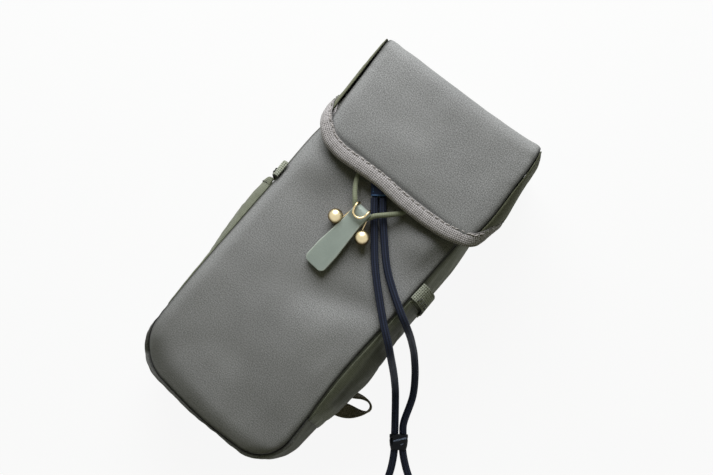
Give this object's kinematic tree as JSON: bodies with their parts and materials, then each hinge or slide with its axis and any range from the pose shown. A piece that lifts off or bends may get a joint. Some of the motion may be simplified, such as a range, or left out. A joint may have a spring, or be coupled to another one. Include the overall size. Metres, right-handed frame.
{
  "type": "monocular pouch",
  "caption": "Padded box-shaped monocular pouch with a hood lid, wire hook and elastic loop closure, side loops and pockets, belt loop and braided lanyard.",
  "frame": {"origin": "centre of the belt loop's flat underside, on the pouch's centre plane, halfway along its length", "axes": "+Z out of the front panel, +Y towards the hood, +X to the right as one looks at the front"},
  "size_m": [0.1563, 0.2, 0.071],
  "materials": {
    "shell_fabric": "brushed heathered grey-olive woven polyester, matt",
    "gusset_fabric": "thin olive plain-weave nylon",
    "foam_sheet": "closed-cell foam sheet",
    "lining_fabric": "smooth taffeta lining",
    "binding_tape": "ribbed grosgrain binding tape",
    "webbing": "olive-grey woven webbing",
    "dark_webbing": "dark olive woven webbing",
    "elastic_tape": "folded elastic tape",
    "elastic_cord": "braided cover over a rubber core",
    "coated_leather": "sage grey-green coated leather, satin",
    "antique_brass": "polished antique brass plating",
    "braided_cord": "navy braided polyester cord",
    "blue_plastic": "moulded acetal, satin",
    "dark_plastic": "moulded acetal, satin"
  },
  "bodies": {
    "root": {"front_panel": "shell_fabric", "back_panel": "shell_fabric", "base_gusset": "shell_fabric", "side_gusset_right": "gusset_fabric", "side_gusset_left": "gusset_fabric", "front_foam": "foam_sheet", "back_foam": "foam_sheet", "side_foam_right": "foam_sheet", "side_foam_left": "foam_sheet", "base_foam": "foam_sheet", "front_lining": "lining_fabric", "back_lining": "lining_fabric", "gusset_lining": "lining_fabric", "mouth_binding": "binding_tape", "hinge_tape": "binding_tape", "hook_patch": "webbing", "ball_rivet_left": "antique_brass", "ball_rivet_right": "antique_brass", "rivet_washer_left": "antique_brass", "rivet_washer_right": "antique_brass", "hook_wire": "antique_brass", "side_loop_right": "webbing", "side_loop_left": "webbing", "side_pocket_right": "gusset_fabric", "side_pocket_left": "gusset_fabric", "pocket_hem_right": "elastic_tape", "pocket_hem_left": "elastic_tape", "belt_loop": "webbing", "pull_loop": "dark_webbing", "lanyard_connector": "blue_plastic", "lanyard_anchor": "webbing", "lanyard_cord": "braided_cord"},
    "hood": {"hood_front": "shell_fabric", "hood_top": "shell_fabric", "hood_side_right": "shell_fabric", "hood_side_left": "shell_fabric", "hood_front_foam": "foam_sheet", "hood_top_foam": "foam_sheet", "hood_lining": "lining_fabric", "hood_binding": "binding_tape", "elastic_anchor_right": "binding_tape", "elastic_anchor_left": "binding_tape"},
    "closure": {"closure_elastic": "elastic_cord"},
    "tab": {"pull_tab": "coated_leather"},
    "slider": {"lanyard_slider": "dark_plastic"}
  },
  "joints": [
    {"name": "hood_hinge", "type": "hinge", "parent": "root", "child": "hood", "pos_m": [0, 0.0986, 0.0027], "axis": [1, 0, 0], "range_deg": [-90, 0]},
    {"name": "closure_stretch", "type": "slide", "parent": "hood", "child": "closure", "axis": [0, -1, 0], "range_m": [0, 0.007], "stiffness_N_per_m": 150, "springref_m": -0.003, "deforming": ["closure_elastic"]},
    {"name": "tab_swing", "type": "hinge", "parent": "closure", "child": "tab", "pos_m": [-0.0009, 0.0246, 0.0664], "axis": [0.9976, -0.0698, 0], "range_deg": [-25, 0]},
    {"name": "slider_slide", "type": "slide", "parent": "root", "child": "slider", "axis": [-0.6157, 0.788, 0], "range_m": [0, 0.005]}
  ]
}
